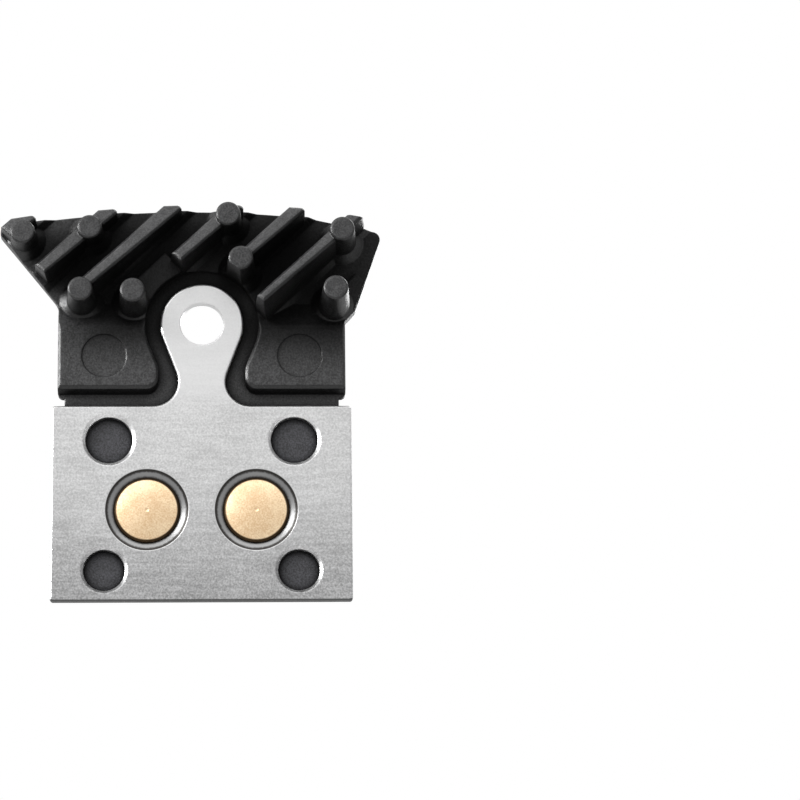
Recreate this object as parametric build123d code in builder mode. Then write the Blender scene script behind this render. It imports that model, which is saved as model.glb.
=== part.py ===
from build123d import *
import os
from math import atan2, cos, degrees, radians, sin, tan

# Finned disc brake pad of a bicycle: a steel back plate, a cast heat sink, a plated carrier with a sintered
# friction block, and two rivets through the stack. Millimetres. +Z is up towards the fins, +X is to the right
# as seen from the back, and +Y points to the friction face. The origin lies on the axis of the pad pin, in
# the seam between the back plate and the casting.

# Layers of the stack, along Y
PLATE_THICKNESS = 1.0
WEB_THICKNESS = 0.8
WING_THICKNESS = 1.1
SHOULDER_RISE = 1.2
CARRIER_THICKNESS = 0.6
FRICTION_THICKNESS = 1.7

# Steel back plate
PLATE_WIDTH = 29.3
PLATE_HEIGHT = 19.4
PLATE_DROP = 8.3            # from the pin axis down to the plate's upper edge
PLATE_CORNER = 0.3
PLATE_EDGE = 0.14           # rolled edge of the blanked sheet
HOLE_EDGE = 0.3             # and of its corner holes
TAB_HEAD_RADIUS = 4.06
TAB_TAPER = 21.0            # degrees, each side
TAB_FLARE = 2.5
PIN_HOLE_RADIUS = 2.13
UPPER_HOLE_RADIUS = 2.3
UPPER_HOLE_INSET = (5.6, 3.4)       # from the plate's side and upper edge
LOWER_HOLE_RADIUS = 2.02
LOWER_HOLE_INSET = (5.2, 3.05)      # from the plate's side and lower edge

# Rivets
RIVET_SPACING = 10.64
RIVET_DEPTH = 10.4          # below the plate's upper edge
SHANK_RADIUS = 2.5
RIVET_HEAD_RADIUS = 3.3
RIVET_HEAD_HEIGHT = 0.35
TAIL_RIM_RADIUS = 3.2
TAIL_FACE_RADIUS = 2.98
TAIL_INSET = 0.05           # end of the tail below the back of the plate
TAIL_PIP_RADIUS = 0.22
TAIL_PIP_DEPTH = 0.08
SINK_RADIUS = 4.1           # mouth of the countersink
SINK_DEPTH = 0.65
RIVET_CLEARANCE = 0.03

# Casting: lower plate, neck and keyhole
WEB_INSET = 1.2             # sides of the lower plate inside the steel plate's
WEB_LIFT = 0.15             # lower edge of the lower plate above the steel plate's
WEB_CORNER = 0.6
NECK_INSET = 0.55           # sides of the neck inside the steel plate's
NECK_GAP = 1.0              # from the neck's shoulder notch down to the steel plate
NECK_CORNER = 0.5
SHOULDER_GAP = 1.8          # from the step of the shoulders down to the steel plate
SHOULDER_FOOT = 0.45        # run of that step
SHOULDER_CREST = -0.4       # upper edge of the level shoulder
SHOULDER_RUN = 2.6          # length of its slope down to the wing
SHOULDER_EDGE = 0.25
SEAT_HOLE_RADIUS = 2.34     # pin hole in the casting
KEYHOLE_RADIUS = 5.6
KEYHOLE_TAPER = 22.0        # degrees, each side
KEYHOLE_THROAT = 8.5
KEYHOLE_WAIST = 2.0         # rounding where the taper meets the throat
KEYHOLE_CORNER = 1.2
MARK_RADIUS = 2.2
MARK_SPACING = 19.2
MARK_DROP = 3.25
MARK_DEPTH = 0.2

# Casting: wing outline
CREST_HEIGHT = 11.67        # top of the arched edge above the pin axis
LEFT_TIP = (-19.9, 10.05)
LEFT_HEEL = 9.2
RIGHT_KNEE = (10.5, 11.05)
RIGHT_TIP = (17.9, 9.45)
RIGHT_LOBE = (15.15, 1.5)
NECK_LEFT_TOP = 2.0
NECK_RIGHT_TOP = 0.3
LEFT_CORNER = 0.45
RIGHT_CORNER = 0.8
LEFT_HOLLOW = 2.0
LOBE_CORNER = 0.9

# Casting: slanted fins. Each is a tall rail on the back of the wing and a low rib on the friction side
FIN_ANGLE = 44.0
FINS = [                    # foot of the rail and of the rib (X, Z), width, rise of the rail above the others
    ((-19.1, 8.65), (-20.6, 7.85), 2.2, 0.8),
    ((-15.8, 4.8), (-16.05, 5.5), 1.9, 0),
    ((-11.8, 2.8), (-13.1, 2.15), 1.9, 0),
    ((-2.45, 5.85), (-8.4, 0.0), 1.9, 0),
    ((3.75, 5.55), (3.05, 4.8), 1.9, 0),
    ((5.75, 1.05), (5.4, 0.6), 1.9, 0),
]
FIN_DRAFT = 4.5
FIN_TIP = 0.5               # rounding of the sharp corner at the edge of the wing
FIN_EDGE = 0.22
FIN_HEIGHT = 6.4            # rails above the wing over the pin axis
FIN_TILT = 4.0              # degrees by which the rails' tops rise towards +X
FIN_LEAN = 17.6             # degrees by which they fall towards the top of the wing
FIN_ROOT = 0.5              # sloped foot of the rails
FIN_ROOT_SLOPE = 52.0
RIDGE_FOOT = (-7.2, 2.1)    # low ridge that leads to the middle rail
RIDGE_WIDTH = 2.4
RIDGE_LENGTH = 6.1
RIDGE_HEIGHT = 0.9
RIB_HEIGHT = 0.8
RIB_INSET = 0.1
RIB_FLOOR = 1.0             # the lower ends of the ribs are cut level here
RIB_HOLE_GAP = 5.7          # radius kept free of ribs round the pin hole
LOBE_FOOT = (11.8, -0.2)    # pad on both sides in the lower right corner of the wing
LOBE_WIDTH = 3.0
LOBE_LENGTH = 6.3           # on the back
LOBE_HEIGHT = 0.4

# Casting: ejector posts
POST_RADIUS = 1.2
POST_DRAFT = 3.0
POST_EDGE = 0.15
POST_ROOT = 0.8             # flare at the foot of a post
POSTS = [                   # place (X, Z) and rise above the rails' tops
    (-17.57, 8.7, 1.1),
    (-11.02, 9.2, 0.7),
    (13.8, 8.45, 0.7),
    (-11.8, 2.3, 0.7),
    (-6.7, 2.05, 0.7),
    (13.05, 1.9, 0.7),
    (2.6, 10.4, 0.7),
    (3.83, 5.4, 0.7),
]

# Casting: square bumps on the friction side
BUMP_SIZE = 2.1
BUMP_SPACING = 24.2
BUMP_DROP = 5.9
BUMP_HEIGHT = 0.7

# Friction block and its carrier
BLOCK_WIDTH = 25.94
BLOCK_TOP_DROP = 11.35
BLOCK_SHOULDER_DROP = 12.55
BLOCK_BOTTOM_DROP = 26.2
BLOCK_BOTTOM_RISE = 0.15
BLOCK_TOP_CORNER = 2.8
BLOCK_BOTTOM_CORNER = 2.2
BLOCK_EDGE = 0.2
BEVEL_DROP = 25.05
BEVEL_DEPTH = 1.2
CARRIER_LIP = 0.12

wing_back = WEB_THICKNESS - WING_THICKNESS
carrier_front = WEB_THICKNESS + CARRIER_THICKNESS
friction_front = carrier_front + FRICTION_THICKNESS
web_width = PLATE_WIDTH - 2 * WEB_INSET
web_drop = PLATE_DROP + PLATE_HEIGHT - WEB_LIFT
neck_width = PLATE_WIDTH - 2 * NECK_INSET
neck_drop = PLATE_DROP - NECK_GAP
shoulder_drop = PLATE_DROP - SHOULDER_GAP
crest = ThreePointArc(LEFT_TIP, (0, CREST_HEIGHT), RIGHT_KNEE)
rivet_drop = PLATE_DROP + RIVET_DEPTH
rivet_places = [(-RIVET_SPACING / 2, -rivet_drop), (RIVET_SPACING / 2, -rivet_drop)]


def layer(y):
    """Sketch plane at depth y, seen from the back: its axes are X and Z, and it extrudes towards the back."""
    return Plane.XZ.offset(-y)


def fin_height(x, z):
    """Height of the rails above the wing at this place."""
    return FIN_HEIGHT + x * tan(radians(FIN_TILT)) - z * tan(radians(FIN_LEAN))


def slanted_bar(foot, width, length):
    """A bar from its foot up along the fins, square at both ends."""
    with BuildSketch() as bar:
        with Locations(Location((*foot, 0), (0, 0, FIN_ANGLE))):
            Rectangle(length, width, align=(Align.MIN, Align.CENTER))
    return bar.sketch


def across_fin(foot):
    """Sketch plane across a fin at its foot, standing on the back of the wing with its Y axis to the back."""
    along = Vector(1, 0, 0).rotate(Axis.Y, -FIN_ANGLE)
    return Plane((foot[0], wing_back, foot[1]), x_dir=Vector(0, -1, 0).cross(along), z_dir=along)


def casting_outline(inset=0.0):
    """Outline of the casting, pulled in all round: arched wing, neck and lower plate."""
    neck = neck_width / 2
    web = web_width / 2
    lower_half = [(neck, NECK_RIGHT_TOP), (neck, -neck_drop), (web, -neck_drop), (web, -web_drop)]
    upper_half = [(-web, -web_drop), (-web, -neck_drop), (-neck, -neck_drop), (-neck, NECK_LEFT_TOP)]
    left_heel = (LEFT_TIP[0], LEFT_HEEL)
    rounded = [
        (LEFT_TIP, LEFT_CORNER), (RIGHT_TIP, RIGHT_CORNER), (RIGHT_LOBE, LOBE_CORNER),
        (upper_half[3], LEFT_HOLLOW), (lower_half[1], NECK_CORNER), (upper_half[2], NECK_CORNER),
        (lower_half[3], WEB_CORNER), (upper_half[0], WEB_CORNER),
    ]
    with BuildSketch() as outline:
        with BuildLine():
            add(crest)
            Polyline(RIGHT_KNEE, RIGHT_TIP, RIGHT_LOBE, *lower_half, *upper_half, left_heel, LEFT_TIP)
        make_face()
        for corner, radius in rounded:
            fillet(outline.vertices().sort_by_distance((*corner, 0))[0], radius)
        if inset:
            offset(amount=-inset, mode=Mode.REPLACE)
    return outline.sketch


def rail_plan(foot, width):
    """Plan of one rail: a slanted bar cut off by the arched edge of the wing."""
    with BuildSketch() as plan:
        add(slanted_bar(foot, width, web_drop))
        with Locations((crest.arc_center.X, crest.arc_center.Y)):
            Circle(crest.radius, mode=Mode.INTERSECT)
        fillet(plan.vertices().sort_by(Axis.X)[-1], FIN_TIP)
    return plan.sketch


def rib_plan(foot, width, length=web_drop):
    """Plan of one rib: a slanted bar within the wing, level at its foot and clear of the pin hole."""
    with BuildSketch() as plan:
        add(slanted_bar(foot, width, length))
        add(casting_outline(RIB_INSET), mode=Mode.INTERSECT)
        with Locations((0, RIB_FLOOR)):
            Rectangle(2 * PLATE_WIDTH, web_drop, align=(Align.CENTER, Align.MIN), mode=Mode.INTERSECT)
        Circle(RIB_HOLE_GAP, mode=Mode.SUBTRACT)
    return plan.sketch


def keyhole_outline():
    """Outline of the keyhole for the tab: an arc, tapering flanks and a straight throat."""
    throat = KEYHOLE_THROAT / 2
    chest = Vector(KEYHOLE_RADIUS, 0).rotate(Axis.Z, -KEYHOLE_TAPER)
    throat_drop = -chest.Y + (chest.X - throat) / tan(radians(KEYHOLE_TAPER))
    flank = [(chest.X, chest.Y), (throat, -throat_drop), (throat, -neck_drop)]
    with BuildSketch() as outline:
        with BuildLine():
            ThreePointArc((-chest.X, chest.Y), (0, KEYHOLE_RADIUS), (chest.X, chest.Y))
            Polyline(*flank, *[(-x, z) for x, z in reversed(flank)])
        make_face()
        for side_x in (-throat, throat):
            fillet(outline.vertices().sort_by_distance((side_x, -throat_drop, 0))[0], KEYHOLE_WAIST)
    return outline.sketch


def block_outline(grow):
    """Outline of the friction block, grown all round: arched top, straight sides, slightly hollow bottom."""
    side = BLOCK_WIDTH / 2 + grow
    shoulder = -BLOCK_SHOULDER_DROP
    bottom = -BLOCK_BOTTOM_DROP - grow
    with BuildSketch() as outline:
        with BuildLine():
            ThreePointArc((-side, shoulder), (0, grow - BLOCK_TOP_DROP), (side, shoulder))
            Line((side, shoulder), (side, bottom))
            ThreePointArc((side, bottom), (0, bottom + BLOCK_BOTTOM_RISE), (-side, bottom))
            Line((-side, bottom), (-side, shoulder))
        make_face()
        by_height = outline.vertices().group_by(Axis.Y)
        fillet(by_height[-1], BLOCK_TOP_CORNER + grow)
        fillet(by_height[0], BLOCK_BOTTOM_CORNER + grow)
    return outline.sketch


# Stamped steel plate with its ring tab
with BuildPart() as back_plate:
    with BuildSketch(Plane.XZ) as blank:
        taper = radians(TAB_TAPER)
        shoulder = Vector(TAB_HEAD_RADIUS * cos(taper), -TAB_HEAD_RADIUS * sin(taper))
        tab_foot = shoulder.X - (PLATE_DROP + shoulder.Y) * tan(taper)
        flank = [(shoulder.X, shoulder.Y), (tab_foot, -PLATE_DROP)]
        Circle(TAB_HEAD_RADIUS)
        Polygon(*flank, *[(-x, z) for x, z in reversed(flank)], align=None)
        with Locations((0, -PLATE_DROP)):
            Rectangle(PLATE_WIDTH, PLATE_HEIGHT, align=(Align.CENTER, Align.MAX))
        for foot_x in (-tab_foot, tab_foot):
            fillet(blank.vertices().sort_by_distance((foot_x, -PLATE_DROP, 0))[0], TAB_FLARE)
        across = blank.vertices().group_by(Axis.X)
        fillet(across[0] + across[-1], PLATE_CORNER)
        Circle(PIN_HOLE_RADIUS, mode=Mode.SUBTRACT)
        with Locations((0, -PLATE_DROP - UPPER_HOLE_INSET[1])):
            with GridLocations(PLATE_WIDTH - 2 * UPPER_HOLE_INSET[0], 0, 2, 1):
                Circle(UPPER_HOLE_RADIUS, mode=Mode.SUBTRACT)
        with Locations((0, -PLATE_DROP - PLATE_HEIGHT + LOWER_HOLE_INSET[1])):
            with GridLocations(PLATE_WIDTH - 2 * LOWER_HOLE_INSET[0], 0, 2, 1):
                Circle(LOWER_HOLE_RADIUS, mode=Mode.SUBTRACT)
    extrude(amount=PLATE_THICKNESS)
    back = back_plate.faces().sort_by(Axis.Y)[0]
    chamfer(back.outer_wire().edges(), PLATE_EDGE)
    corner_holes = back.inner_wires().sort_by(Axis.Z)[:-1]
    for hole in corner_holes:
        chamfer(hole.edges(), HOLE_EDGE)
    sink_angle = 2 * degrees(atan2(SINK_RADIUS - SHANK_RADIUS - RIVET_CLEARANCE, SINK_DEPTH))
    with Locations(layer(-PLATE_THICKNESS)):
        with Locations(*rivet_places):
            CounterSinkHole(SHANK_RADIUS + RIVET_CLEARANCE, SINK_RADIUS, counter_sink_angle=sink_angle)
back_plate.part.label = "back_plate"

# One rivet seen from the side: head in the carrier, shank, and a tail spread into the countersink
sink_slope = (SINK_RADIUS - SHANK_RADIUS - RIVET_CLEARANCE) / SINK_DEPTH
tail_root = SINK_DEPTH - PLATE_THICKNESS
tail_rim = tail_root - (TAIL_RIM_RADIUS - SHANK_RADIUS) / sink_slope
tail_end = TAIL_INSET - PLATE_THICKNESS
tail_chamfer = TAIL_RIM_RADIUS - TAIL_FACE_RADIUS
with BuildPart() as rivets:
    for place_x, place_z in rivet_places:
        with BuildSketch(Plane((place_x, 0, place_z), x_dir=(1, 0, 0), z_dir=(0, 0, 1))):
            Polygon(
                (0, carrier_front),
                (RIVET_HEAD_RADIUS, carrier_front),
                (RIVET_HEAD_RADIUS, carrier_front - RIVET_HEAD_HEIGHT),
                (SHANK_RADIUS, carrier_front - RIVET_HEAD_HEIGHT),
                (SHANK_RADIUS, tail_root),
                (TAIL_RIM_RADIUS, tail_rim),
                (TAIL_RIM_RADIUS, tail_end + tail_chamfer),
                (TAIL_FACE_RADIUS, tail_end),
                (TAIL_PIP_RADIUS, tail_end),
                (0, tail_end + TAIL_PIP_DEPTH),
                align=None,
            )
        revolve(axis=Axis((place_x, 0, place_z), (0, 1, 0)))
rivets.part.label = "rivets"

# Plated carrier under the friction material, with seats for the rivet heads
with BuildPart() as friction_carrier:
    with BuildSketch(layer(carrier_front)):
        add(block_outline(CARRIER_LIP))
    extrude(amount=CARRIER_THICKNESS)
    with Locations(layer(carrier_front).rotated((180, 0, 0))):
        with Locations(*[(x, -z) for x, z in rivet_places]):
            CounterBoreHole(
                SHANK_RADIUS + RIVET_CLEARANCE, RIVET_HEAD_RADIUS + RIVET_CLEARANCE, RIVET_HEAD_HEIGHT,
            )
friction_carrier.part.label = "friction_carrier"

# Sintered block with its bevelled lower edge
with BuildPart() as friction_block:
    with BuildSketch(layer(friction_front)):
        add(block_outline(0))
    extrude(amount=FRICTION_THICKNESS)
    with BuildSketch(Plane.YZ):
        Polygon(
            (friction_front, -BEVEL_DROP),
            (friction_front, -BLOCK_BOTTOM_DROP),
            (friction_front - BEVEL_DEPTH, -BLOCK_BOTTOM_DROP),
            align=None,
        )
    extrude(amount=BLOCK_WIDTH, both=True, mode=Mode.SUBTRACT)
    chamfer(friction_block.faces().sort_by(Axis.Y)[-1].edges(), BLOCK_EDGE)
friction_block.part.label = "friction_block"

# Rails and posts on the back of the wing. A slanting plane cuts off the tops of the rails
fin_root = wing_back + WING_THICKNESS / 2
fin_reach = fin_height(*RIGHT_LOBE) + WING_THICKNESS
tops = Plane(
    (0, wing_back - FIN_HEIGHT, 0),
    x_dir=(1, -tan(radians(FIN_TILT)), 0),
    z_dir=(-tan(radians(FIN_TILT)), -1, tan(radians(FIN_LEAN))),
)
with BuildPart() as fins:
    for foot, _, width, rise in FINS:
        with BuildPart(mode=Mode.PRIVATE) as rail:
            with BuildSketch(across_fin(foot)):
                Trapezoid(width, fin_reach, 90 - FIN_DRAFT, align=(Align.CENTER, Align.MIN))
            extrude(amount=web_drop)
            with BuildSketch(layer(wing_back)):
                add(rail_plan(foot, width))
            extrude(amount=fin_reach, mode=Mode.INTERSECT)
            with BuildSketch(tops.offset(rise)):
                Rectangle(4 * PLATE_WIDTH, 4 * PLATE_WIDTH)
            extrude(amount=2 * fin_reach, mode=Mode.SUBTRACT)
            rail_top = rail.faces().sort_by(lambda face: face.normal_at().dot(tops.z_dir))[-1]
            chamfer(rail_top.edges(), FIN_EDGE)
        add(rail.part)
        heel = Vector(*foot) - Vector(FIN_ROOT, 0).rotate(Axis.Z, FIN_ANGLE)
        with BuildSketch(across_fin((heel.X, heel.Y))):
            Trapezoid(width + 2 * FIN_ROOT, FIN_ROOT, 90 - FIN_ROOT_SLOPE, align=(Align.CENTER, Align.MIN))
        extrude(amount=web_drop)
    for post_x, post_z, rise in POSTS:
        height = fin_height(post_x, post_z) + rise
        neck_radius = POST_RADIUS + (height - POST_ROOT) * tan(radians(POST_DRAFT))
        with BuildSketch(Plane((post_x, wing_back, post_z), x_dir=(1, 0, 0), z_dir=(0, 0, 1))):
            Polygon(
                (0, -height),
                (POST_RADIUS - POST_EDGE, -height),
                (POST_RADIUS, POST_EDGE - height),
                (neck_radius, -POST_ROOT),
                (neck_radius + POST_ROOT, 0),
                (neck_radius + POST_ROOT, WING_THICKNESS / 2),
                (0, WING_THICKNESS / 2),
                align=None,
            )
        revolve(axis=Axis((post_x, 0, post_z), (0, 1, 0)))
    with BuildSketch(layer(fin_root)):
        add(casting_outline())
        add(keyhole_outline(), mode=Mode.SUBTRACT)
    extrude(amount=2 * fin_reach, mode=Mode.INTERSECT)

# Cast heat sink
with BuildPart() as heat_sink:
    # Lower plate and neck, then the thicker wing above the step
    with BuildSketch(layer(WEB_THICKNESS)):
        add(casting_outline())
    extrude(amount=WEB_THICKNESS)
    with BuildSketch(layer(WEB_THICKNESS)):
        add(casting_outline())
        with Locations((0, -shoulder_drop)):
            Rectangle(2 * PLATE_WIDTH, web_drop, align=(Align.CENTER, Align.MIN), mode=Mode.INTERSECT)
    extrude(amount=WING_THICKNESS)
    # Raised shoulders that slope down to the wing, with the keyhole for the tab between them
    with BuildSketch(Plane.YZ):
        Polygon(
            (0, -shoulder_drop - SHOULDER_FOOT),
            (-SHOULDER_RISE, -shoulder_drop),
            (-SHOULDER_RISE, SHOULDER_CREST),
            (wing_back, SHOULDER_CREST + SHOULDER_RUN),
            (0, SHOULDER_CREST + SHOULDER_RUN),
            align=None,
        )
    extrude(amount=neck_width / 2, both=True)
    with BuildSketch(Plane.XZ):
        add(keyhole_outline())
    extrude(amount=SHOULDER_RISE, mode=Mode.SUBTRACT)
    for side in (-1, 1):
        corner = Vector(side * KEYHOLE_THROAT / 2, -SHOULDER_RISE / 2, -shoulder_drop - SHOULDER_FOOT / 2)
        fillet(heat_sink.edges().sort_by_distance(corner)[0], KEYHOLE_CORNER)
    for shoulder in heat_sink.faces().sort_by(Axis.Y)[:2]:
        chamfer(shoulder.edges(), SHOULDER_EDGE)
    # Ribs on the friction side, the lobe on both sides, low ridge, rails and posts on the back
    for _, foot, width, _ in FINS:
        with BuildSketch(layer(WEB_THICKNESS)):
            add(rib_plan(foot, width))
        extrude(amount=-RIB_HEIGHT)
    with BuildSketch(layer(WEB_THICKNESS)):
        add(rib_plan(LOBE_FOOT, LOBE_WIDTH))
    extrude(amount=-RIB_HEIGHT)
    with BuildSketch(layer(wing_back)):
        add(rib_plan(LOBE_FOOT, LOBE_WIDTH, LOBE_LENGTH))
    extrude(amount=LOBE_HEIGHT)
    with BuildSketch(layer(wing_back)):
        add(slanted_bar(RIDGE_FOOT, RIDGE_WIDTH, RIDGE_LENGTH))
        add(keyhole_outline(), mode=Mode.SUBTRACT)
    extrude(amount=RIDGE_HEIGHT)
    add(fins.part)
    with BuildSketch(layer(WEB_THICKNESS)):
        with Locations((0, -BUMP_DROP)):
            with GridLocations(BUMP_SPACING, 0, 2, 1):
                Rectangle(BUMP_SIZE, BUMP_SIZE)
    extrude(amount=-BUMP_HEIGHT)
    # Holes for the pin and the rivets, and the bare round mould marks
    with BuildSketch(layer(WEB_THICKNESS)):
        Circle(SEAT_HOLE_RADIUS)
        with Locations(*rivet_places):
            Circle(SHANK_RADIUS + RIVET_CLEARANCE)
    extrude(amount=WEB_THICKNESS, mode=Mode.SUBTRACT)
    with BuildSketch(layer(-SHOULDER_RISE)):
        with Locations((0, -MARK_DROP)):
            with GridLocations(MARK_SPACING, 0, 2, 1):
                Circle(MARK_RADIUS)
    extrude(amount=-MARK_DEPTH, mode=Mode.SUBTRACT)
heat_sink.part.label = "heat_sink"

os.makedirs("parts", exist_ok=True)
for piece in (back_plate, rivets, friction_carrier, friction_block, heat_sink):
    export_step(piece.part, f"parts/{piece.part.label}.step")
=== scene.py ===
import bpy
import math
from mathutils import Matrix, Vector

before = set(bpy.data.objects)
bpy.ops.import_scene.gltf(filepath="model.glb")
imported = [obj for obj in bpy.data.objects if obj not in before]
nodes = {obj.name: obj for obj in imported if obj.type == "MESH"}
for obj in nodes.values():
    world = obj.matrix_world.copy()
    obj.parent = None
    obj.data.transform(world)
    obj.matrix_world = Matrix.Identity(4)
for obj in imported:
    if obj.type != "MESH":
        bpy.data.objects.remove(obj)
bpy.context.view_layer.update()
scene = bpy.context.scene

# Places on the pad, in metres. A tone changes from the first value of a pair to the second.
RIVET_X = 0.00532                       # the rivets' axes, to either side of the middle
RIVET_Z = -0.0187
# The rivet's rim radii below start the painted shade on its flank in the gap round it
RIVET_GAP_SHADE = (0.00288, 0.00302)        # radii about a rivet's axis: its rim,
# The countersink's band and rim radii below place painted highlights, with painted shade inside and
# between them
SINK_BAND_START = (0.00335, 0.00360)    # the light band on the wall of the countersink,
SINK_BAND_END = (0.00378, 0.00398)
SINK_RIM = (0.00402, 0.00408)           # the countersink's bright rim
SINK_RADIUS = 0.0041                    # and its edge on the face of the plate
PLATE_SIDE = 0.0145                     # the plate's sides lie further out than this
PLATE_FOOT = -0.0275                    # and its lower edge below this
FOOT_SHADE = (-0.0273, -0.0276)         # heights over which its sides darken into the lower edge: painted shade
PLATE_PAINTED_SHADE = (-0.012, -0.030)        # heights over which its face darkens downwards: painted shade
TAB_NECK = (-0.0095, -0.0060)           # heights over which it passes into the tab
SHADED_RISE = (-0.0052, -0.0002)        # heights over which the shoulders pass into painted shade at the rails' roots
LEFT_SHOULDER = (-0.0140, -0.0090)      # over this width at the left they take less of that painted shade
BEHIND_PLATE = (-0.0088, -0.0094)       # below this height only the plate's holes show the casting
SHELTER_REACH = 0.005                   # how near a wall has to be to shelter a face and give it painted shade
RAIL_TOP_BACK = 0.0067                  # how far the rails' tops lie behind the seam, over the pin axis
RAIL_TILT = math.tan(math.radians(4.0))
RAIL_LEAN = math.tan(math.radians(17.6))
RAIL_TOP_MARGIN = 0.00004

# How squarely a face is turned to a direction, as a cosine
FLAT = 0.95
TOP = 0.90
FLARE = 0.85
WALL = 0.50
SLANT = 0.30

# Slots of the finishes on the plate, the casting and the friction block
GROUND, TURNED, SHEARED_AND_SHADED = range(3)
SATIN, DULL, WORN, FLARED = range(4)
BEDDED, BARE = range(2)

# Colours of the coat's black and its painted shade, of the friction material, and the shading of the
# rivets' ends
COAT_BLACK_AND_SHADE = (0.001, 0.001, 0.001)
BEDDED_LIGHT = (0.40, 0.305, 0.215)
BEDDED_DARK = (0.17, 0.120, 0.080)
BARE_LIGHT = (0.105, 0.066, 0.042)
BARE_DARK = (0.028, 0.018, 0.012)
RIVET_DOME = 42.0                       # how fast an end falls away from its middle, per metre

# Room, floor and lamps
ROOM_LIGHT = 0.25                       # share of the room's strength that lights the pad
FLOOR_LEVEL = -0.55
FLOOR_REACH = 6.0
FLOOR_CORNERS = 96
FLOOR_GLOW = 0.45
PAD_MIDDLE = (-0.0015, 0.0, -0.008)

# Camera
CAMERA_PLACE = (0.003451, -0.349358, -0.094803)
CAMERA_PITCH = math.radians(14.0163)
CAMERA_YAW = math.radians(-2.6276)
CAMERA_ROLL = math.radians(0.7034)
CAMERA_LENS = 164.7                     # millimetres, as is the sensor
CAMERA_SENSOR = 36
CAMERA_NEAR = 0.01
CAMERA_FAR = 20

# Sockets of a Mix node that blends colours, where the names of the inputs repeat
MIX_FACTOR = 0
MIX_FIRST = 6
MIX_SECOND = 7
MIX_RESULT = 2


class Strand:
    """One socket of a finish's node tree. Arithmetic on it adds Math nodes."""

    def __init__(self, tree, socket=None):
        self.tree = tree
        self.socket = socket

    def node(self, kind, settings=None, inputs=None, output=0):
        """Adds a node: its settings first, then the values or links of its sockets."""
        made = self.tree.nodes.new("ShaderNode" + kind)
        for name, value in (settings or {}).items():
            setattr(made, name, value)
        for name, value in (inputs or {}).items():
            if isinstance(value, Strand):
                self.tree.links.new(value.socket, made.inputs[name])
            else:
                made.inputs[name].default_value = value
        return Strand(self.tree, made.outputs[output])

    def math(self, operation, first, second=0.0):
        return self.node("Math", {"operation": operation}, {0: first, 1: second})

    def __add__(self, other):
        return self.math("ADD", self, other)

    def __sub__(self, other):
        return self.math("SUBTRACT", self, other)

    def __rsub__(self, other):
        return self.math("SUBTRACT", other, self)

    def __mul__(self, other):
        return self.math("MULTIPLY", self, other)

    __radd__ = __add__
    __rmul__ = __mul__

    def between(self, start, end):
        """0 up to the start, 1 past the end, smooth in between."""
        return self.node(
            "MapRange",
            {"interpolation_type": "SMOOTHSTEP"},
            {"Value": self, "From Min": start, "From Max": end},
        )

    def blend(self, first, second):
        """First colour where this strand is 0, second where it is 1."""
        first, second = ((*c, 1) if isinstance(c, tuple) else c for c in (first, second))
        sockets = {MIX_FACTOR: self, MIX_FIRST: first, MIX_SECOND: second}
        return self.node("Mix", {"data_type": "RGBA"}, sockets, MIX_RESULT)

    def noise(self, scale, detail, roughness):
        sockets = {"Vector": self, "Scale": scale, "Detail": detail, "Roughness": roughness}
        return self.node("TexNoise", None, sockets)

    def fine_grain(self):
        """Specks of about a fifth of a millimetre."""
        return self.noise(5200, 3.0, 0.65)

    def stretched(self, scale, turn=0.0):
        """These coordinates turned about Y, then scaled along each axis."""
        turned = self.node("Mapping", {"vector_type": "POINT"}, {"Vector": self, "Rotation": (0, turn, 0)})
        return turned.node("Mapping", {"vector_type": "POINT"}, {"Vector": turned, "Scale": scale})

    def along(self, axis):
        """One of these coordinates: X, Y or Z."""
        return self.node("SeparateXYZ", None, {"Vector": self}, axis)

    def rivet_radius(self):
        """Distance from the axis of the nearer rivet, in metres."""
        aside = self.math("ABSOLUTE", self.along("X")) - RIVET_X
        above = self.along("Z") - RIVET_Z
        return self.math("SQRT", aside * aside + above * above)

    def sheltered(self, reach):
        """1 deep in a corner, 0 on an open face."""
        open_sky = self.node("AmbientOcclusion", {"samples": 8}, {"Distance": reach}, "AO")
        return 1 - open_sky.between(0.45, 0.85)

    def rounded(self, radius):
        """A normal that runs round the sharp edges."""
        return self.node("Bevel", {"samples": 6}, {"Radius": radius})

    def edge(self, radius):
        """1 along the sharp edges, 0 elsewhere."""
        normals = {0: self.rounded(radius), 1: self.node("NewGeometry", output="True Normal")}
        alike = self.node("VectorMath", {"operation": "DOT_PRODUCT"}, normals, "Value")
        return 1 - alike.between(0.80, 0.99)

    def bumped(self, distance, strength, normal=None):
        """A normal that follows this strand as a relief, over another normal where one is given."""
        sockets = {"Height": self, "Distance": distance, "Strength": strength}
        if normal:
            sockets["Normal"] = normal
        return self.node("Bump", None, sockets)


def grey(level):
    return (level, level, level)


def new_finish(name):
    """An empty material with a Principled shader: the material, the shader and Object coordinates."""
    material = bpy.data.materials.new(name)
    material.use_nodes = True
    tree = material.node_tree
    tree.nodes.clear()
    shader = tree.nodes.new("ShaderNodeBsdfPrincipled")
    output = tree.nodes.new("ShaderNodeOutputMaterial")
    tree.links.new(shader.outputs[0], output.inputs[0])
    return material, shader, Strand(tree).node("TexCoord", output="Object")


def set_sockets(shader, **sockets):
    """Constant values and links of a Principled shader; underscores stand for spaces."""
    for name, value in sockets.items():
        socket = shader.inputs[name.replace("_", " ")]
        if isinstance(value, Strand):
            value.tree.links.new(value.socket, socket)
        else:
            socket.default_value = value


def shown_rays(tree):
    """1 for the rays that show the background: to the camera, in reflections and through glass."""
    strand = Strand(tree)
    camera_ray, glossy, through = (
        strand.node("LightPath", output=f"Is {kind} Ray") for kind in ("Camera", "Glossy", "Transmission")
    )
    return strand.math("MAXIMUM", strand.math("MAXIMUM", camera_ray, glossy), through)


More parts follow.
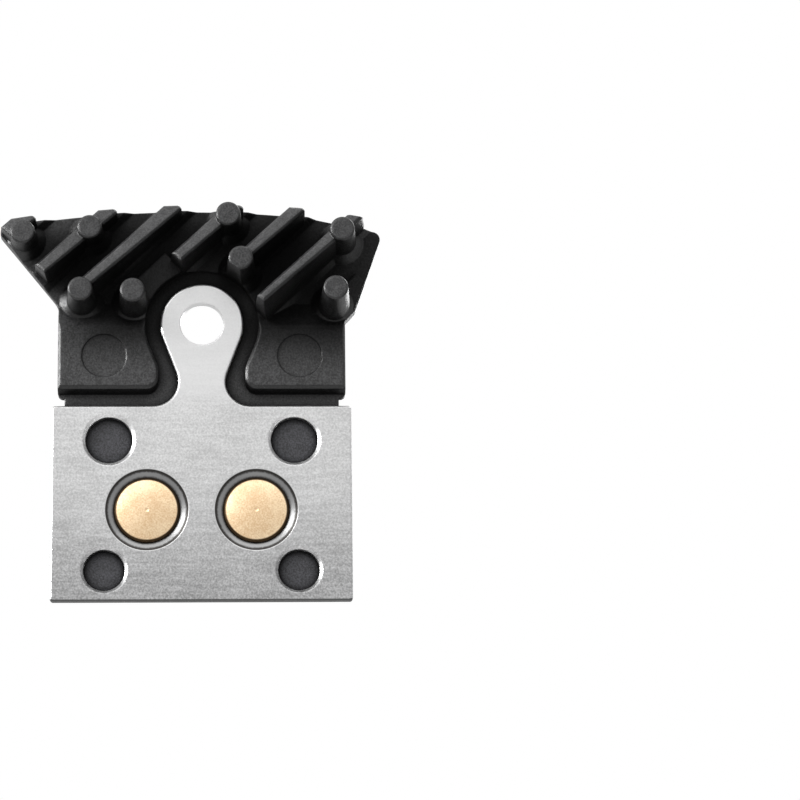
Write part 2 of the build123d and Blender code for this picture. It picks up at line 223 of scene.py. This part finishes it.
def ground_steel():
    """Stainless sheet: a fine speckle, a soft grain along X, and painted shade that darkens the face
    downwards.
    """
    material, shader, place = new_finish("ground_steel")
    grain = place.stretched((300, 400, 3600)).noise(1.0, 3.0, 0.6)
    clouds = place.noise(180, 3.0, 0.5)
    specks = place.fine_grain()
    painted_shade_below = place.along("Z").between(*PLATE_PAINTED_SHADE)
    tab = place.along("Z").between(*TAB_NECK)
    speckle = 0.22 * grain + 0.13 * clouds + 0.65 * specks
    # The tab keeps only a little of the speckle
    tone = speckle + tab * (0.45 - 0.7 * speckle)
    # Lighter above, darker below: painted shade down the face of the plate
    upper_tone = tone.between(0.30, 0.70).blend(grey(0.43), grey(0.68))
    painted_shade_tone = tone.between(0.34, 0.72).blend(grey(0.22), (0.52, 0.52, 0.525))
    set_sockets(
        shader,
        Base_Color=painted_shade_below.blend(upper_tone, painted_shade_tone),
        Metallic=1.0,
        Roughness=0.30 + 0.15 * grain,
        Normal=(0.3 * grain + 0.7 * specks).bumped(0.00001, 0.5, place.rounded(0.00018)),
    )
    return material


def turned_sink_painted_light():
    """Countersunk steel with painted light: painted shade in the gap round the rivet, a painted highlight
    band, painted shade beyond it and a painted highlight on the rim.
    """
    material, shader, place = new_finish("turned_sink_painted_light")
    radius = place.rivet_radius()
    specks = place.fine_grain()
    uneven = radius + 0.0002 * specks
    # Painted light: dark painted shade in the gap, a painted highlight band and a painted highlight on the
    # rim
    band = uneven.between(*SINK_BAND_START) * (1 - uneven.between(*SINK_BAND_END))
    rim = radius.between(*SINK_RIM)
    wall = band.blend((0.04, 0.038, 0.036), grey(0.24))
    set_sockets(
        shader,
        Base_Color=rim.blend(wall, grey(0.58)),
        Metallic=1.0,
        Roughness=0.30,
        Normal=specks.bumped(0.00001, 0.5, place.rounded(0.00012)),
    )
    return material


def sheared_and_shaded_edge():
    """The plate's punched sides: rougher than its face, darker as painted shade, and darkest along the
    lower edge, also painted shade.
    """
    material, shader, place = new_finish("sheared_and_shaded_edge")
    streaks = place.stretched((2600, 300, 2600)).noise(1.0, 3.0, 0.6)
    # The sides' darker tones and the still darker lower edge are painted shade
    side = streaks.between(0.3, 0.7).blend(grey(0.10), grey(0.26))
    foot = place.along("Z").between(*FOOT_SHADE)
    set_sockets(
        shader,
        Base_Color=foot.blend(side, grey(0.08)),
        Metallic=1.0,
        Roughness=0.40 + 0.2 * streaks,
        Normal=streaks.bumped(0.00002, 0.6, place.rounded(0.00015)),
    )
    return material


def black_coat(name, gloss, speckle, graded=False):
    """Black coat on a die casting: orange-peel grain with tiny painted glints, and painted shade in
    sheltered corners.

    A graded coat also takes painted shade at the rails' roots, weaker at the left, and is lighter and
    bluer where it lies behind the plate's holes.
    """
    material, shader, place = new_finish(name)
    grain = place.fine_grain()
    peel = place.noise(1500, 3.0, 0.55)
    patches = place.noise(220, 3.0, 0.5)
    glints = place.noise(6500, 1.0, 0.5).between(0.60, 0.74) * grain.between(0.5, 0.62)
    tone = 0.7 * grain + 0.2 * peel + 0.1 * patches
    base = tone.between(0.38, 0.62).blend(COAT_BLACK_AND_SHADE, (speckle, speckle, 1.03 * speckle))
    # Painted shade: a black matt coat mixed in where walls are near
    painted_shade_mask = place.sheltered(SHELTER_REACH)
    if graded:
        # Painted shade at the rails' roots, weaker at the left; behind the plate's holes the coat is
        # lighter and bluer
        aside = place.along("X").between(*LEFT_SHOULDER)
        painted_root_shade = 0.8 * place.along("Z").between(*SHADED_RISE) * (0.4 + 0.6 * aside)
        painted_shade_mask = place.math("MAXIMUM", painted_shade_mask, painted_root_shade)
        lighter_behind_holes = tone.between(0.40, 0.60).blend((0.020, 0.020, 0.023), (0.085, 0.085, 0.096))
        base = place.along("Z").between(*BEHIND_PLATE).blend(base, lighter_behind_holes)
    relief = (0.6 * grain + 0.4 * peel).bumped(0.00008, 0.9, place.rounded(0.00025))
    set_sockets(
        shader,
        Base_Color=glints.blend(base, grey(0.055)),
        Roughness=0.30 + 0.16 * peel,
        Specular_IOR_Level=gloss,
        Normal=relief,
    )
    painted_shade_coat = place.node("BsdfPrincipled")
    set_sockets(
        painted_shade_coat.socket.node,
        Base_Color=(*COAT_BLACK_AND_SHADE, 1),
        Roughness=0.75,
        Specular_IOR_Level=0.1,
        Normal=relief,
    )
    coat = Strand(place.tree, shader.outputs[0])
    mixed = place.node("MixShader", None, {0: painted_shade_mask, 1: coat, 2: painted_shade_coat})
    place.tree.links.new(mixed.socket, place.tree.nodes["Material Output"].inputs[0])
    return material


def worn_coat():
    """The coat on the rails' and posts' tops, rubbed to a speckled grey, with painted highlights along
    their sharp edges.
    """
    material, shader, place = new_finish("worn_coat")
    specks = place.noise(6000, 3.0, 0.7)
    patches = place.noise(900, 3.0, 0.6)
    tone = 0.7 * specks + 0.3 * patches
    rubbed = tone.between(0.34, 0.68).blend((0.006, 0.006, 0.0065), (0.066, 0.066, 0.067))
    set_sockets(
        shader,
        # Lighter along the sharp edges: a painted highlight
        Base_Color=(0.5 * place.edge(0.0002)).blend(rubbed, grey(0.12)),
        Roughness=0.45 + 0.2 * specks,
        Specular_IOR_Level=0.4,
        Normal=specks.bumped(0.00003, 0.8, place.rounded(0.0003)),
    )
    return material


def sintered_metal(name, light, dark, pitted):
    """Sintered copper alloy: tan grains with small dark pores and slanting bedding scratches."""
    material, shader, place = new_finish(name)
    grains = place.noise(1500, 4.0, 0.65)
    fine = place.fine_grain()
    clouds = place.noise(160, 2.0, 0.5)
    slanted = place.stretched((1.0, 1.0, 0.55), turn=0.75)
    pores = slanted.noise(4600, 2.0, 0.5).between(0.66 - pitted, 0.72 - pitted)
    bedding = place.stretched((360, 400, 6400), turn=-0.80)
    scratches = bedding.noise(1.0, 2.0, 0.5).between(0.56, 0.72)
    tone = 0.35 * grains + 0.45 * fine + 0.2 * clouds
    speckled = tone.between(0.34, 0.66).blend(dark, light)
    scratched = (0.4 * scratches).blend(speckled, tuple(1.5 * c for c in light))
    set_sockets(
        shader,
        Base_Color=pores.blend(scratched, (0.035, 0.026, 0.020)),
        Metallic=0.25,
        Roughness=0.58 + 0.25 * fine,
        Normal=(0.4 * fine + 0.3 * grains - 0.6 * pores).bumped(0.00005, 0.9),
    )
    return material


def plated_carrier():
    """Thin copper plating over steel, dulled by the furnace."""
    material, shader, place = new_finish("plated_carrier")
    clouds = place.noise(420, 4.0, 0.6)
    grain = place.noise(4200, 2.0, 0.6)
    set_sockets(
        shader,
        Base_Color=clouds.between(0.3, 0.7).blend((0.42, 0.31, 0.23), (0.66, 0.55, 0.45)),
        Metallic=0.85,
        Roughness=0.38 + 0.2 * clouds,
        Normal=grain.bumped(0.00001, 0.6),
    )
    return material


def gold_rivet():
    """Satin brass with a fine speckle, faintly domed, and darkened as painted shade in the gap below its
    rim.
    """
    material, shader, place = new_finish("gold_rivet")
    radius = place.rivet_radius()
    clouds = place.noise(500, 3.0, 0.5)
    grain = place.noise(6500, 2.0, 0.55)
    tone = 0.4 * clouds + 0.6 * grain
    brass = tone.between(0.3, 0.7).blend((0.68, 0.465, 0.27), (0.91, 0.735, 0.50))
    painted_gap_shade = radius.between(*RIVET_GAP_SHADE)
    dome = 0.00001 * grain - RIVET_DOME * radius * radius
    set_sockets(
        shader,
        Base_Color=painted_gap_shade.blend(brass, (0.10, 0.065, 0.035)),
        Metallic=1.0,
        Roughness=0.34 + 0.12 * grain,
        Normal=dome.bumped(1.0, 1.0),
    )
    return material


def dress(node, finishes, choose=None):
    """The node's finishes, and which of them each face takes."""
    node.data.materials.clear()
    for material in finishes:
        node.data.materials.append(material)
    if choose:
        for face in node.data.polygons:
            face.material_index = choose(face.center, face.normal)


def plate_finish(centre, normal):
    """Ground sheet, but turned walls with painted light in the countersinks round the rivets, and sheared
    sides with painted shade below.
    """
    radius = math.hypot(abs(centre.x) - RIVET_X, centre.z - RIVET_Z)
    if radius < SINK_RADIUS and abs(normal.y) < FLAT:
        return TURNED
    side = abs(centre.x) > PLATE_SIDE and abs(normal.y) < WALL and normal.z < SLANT
    foot = centre.z < PLATE_FOOT and normal.z < -SLANT
    return SHEARED_AND_SHADED if side or foot else GROUND


def coat_of(centre, normal):
    """Satin coat on faces turned to the back, softer on flared feet, dull elsewhere, worn on the tops; the
    flared feet and the dull walls take darker copies of the coat as painted shade.
    """
    rail_top = RAIL_TOP_BACK + centre.x * RAIL_TILT - centre.z * RAIL_LEAN
    if -normal.y > TOP and -centre.y > rail_top - RAIL_TOP_MARGIN:
        return WORN
    if -normal.y < WALL:
        return DULL
    return FLARED if -normal.y < FLARE else SATIN


def block_finish(centre, normal):
    """Bedded friction face, and darker, warmer sides and bevel."""
    return BEDDED if normal.y > FLAT else BARE


def white_room():
    """Full strength towards the camera and in reflections, softer light everywhere else."""
    world = bpy.data.worlds.new("white_room")
    scene.world = world
    world.use_nodes = True
    tree = world.node_tree
    tree.nodes.clear()
    strength = ROOM_LIGHT + (1 - ROOM_LIGHT) * shown_rays(tree)
    backdrop = strength.node("Background", None, {"Color": (1, 1, 1, 1), "Strength": strength})
    room = tree.nodes.new("ShaderNodeOutputWorld")
    tree.links.new(backdrop.socket, room.inputs[0])


def pale_floor():
    """A plain pale disc well below the pad and the camera."""
    mesh = bpy.data.meshes.new("floor")
    turns = [math.tau * i / FLOOR_CORNERS for i in range(FLOOR_CORNERS)]
    corners = [(FLOOR_REACH * math.cos(a), FLOOR_REACH * math.sin(a), FLOOR_LEVEL) for a in turns]
    mesh.from_pydata(corners, [], [range(FLOOR_CORNERS)])
    floor = bpy.data.objects.new("floor", mesh)
    scene.collection.objects.link(floor)
    material, shader, _ = new_finish("pale_floor")
    set_sockets(
        shader,
        Base_Color=(*grey(0.9), 1),
        Roughness=0.9,
        Emission_Color=shown_rays(material.node_tree).blend(grey(0), grey(FLOOR_GLOW)),
        Emission_Strength=1.0,
    )
    mesh.materials.append(material)


def soft_lamp(name, place, size, power):
    """A square area lamp turned towards the pad."""
    data = bpy.data.lights.new(name, "AREA")
    data.size = size
    data.energy = power
    lamp = bpy.data.objects.new(name, data)
    scene.collection.objects.link(lamp)
    lamp.location = place
    lamp.rotation_euler = (Vector(PAD_MIDDLE) - Vector(place)).to_track_quat("-Z", "Y").to_euler()


def long_lens_camera():
    """Below the pad and aimed to the right of it, so that the pad fills the left half of the frame."""
    data = bpy.data.cameras.new("camera")
    data.sensor_width = CAMERA_SENSOR
    data.lens = CAMERA_LENS
    data.clip_start = CAMERA_NEAR
    data.clip_end = CAMERA_FAR
    camera = bpy.data.objects.new("camera", data)
    scene.collection.objects.link(camera)
    yaw = Matrix.Rotation(CAMERA_YAW, 4, "Z")
    pitch = Matrix.Rotation(math.pi / 2 + CAMERA_PITCH, 4, "X")
    roll = Matrix.Rotation(-CAMERA_ROLL, 4, "Z")
    camera.matrix_world = Matrix.Translation(CAMERA_PLACE) @ yaw @ pitch @ roll
    scene.camera = camera


# Finishes, in the order of their slots
dress(nodes["back_plate"], [ground_steel(), turned_sink_painted_light(), sheared_and_shaded_edge()], plate_finish)
dress(
    nodes["heat_sink"],
    [
        # The dull copy, on the walls and the casting's friction side, and the flared-foot copy have a
        # darker speckle than the satin coat: painted shade on the walls and feet
        black_coat("satin_coat", gloss=0.54, speckle=0.048, graded=True),
        black_coat("dull_shaded_coat", gloss=0.15, speckle=0.018),
        worn_coat(),
        black_coat("flared_foot_shaded", gloss=0.40, speckle=0.015),
    ],
    coat_of,
)
dress(
    nodes["friction_block"],
    [
        sintered_metal("bedded_face", BEDDED_LIGHT, BEDDED_DARK, pitted=0.06),
        sintered_metal("sintered_side", BARE_LIGHT, BARE_DARK, pitted=0.08),
    ],
    block_finish,
)
dress(nodes["friction_carrier"], [plated_carrier()])
dress(nodes["rivets"], [gold_rivet()])

white_room()
pale_floor()
soft_lamp("front", (-0.50, -0.40, 0.32), size=0.30, power=2.5)
soft_lamp("left", (-0.45, -0.06, 0.10), size=0.08, power=4.0)
soft_lamp("top", (0.00, -0.22, 0.46), size=0.60, power=1.3)
soft_lamp("far", (0.30, 0.55, 0.30), size=0.50, power=5.0)
long_lens_camera()
scene.view_settings.view_transform = "Standard"

bpy.context.view_layer.update()
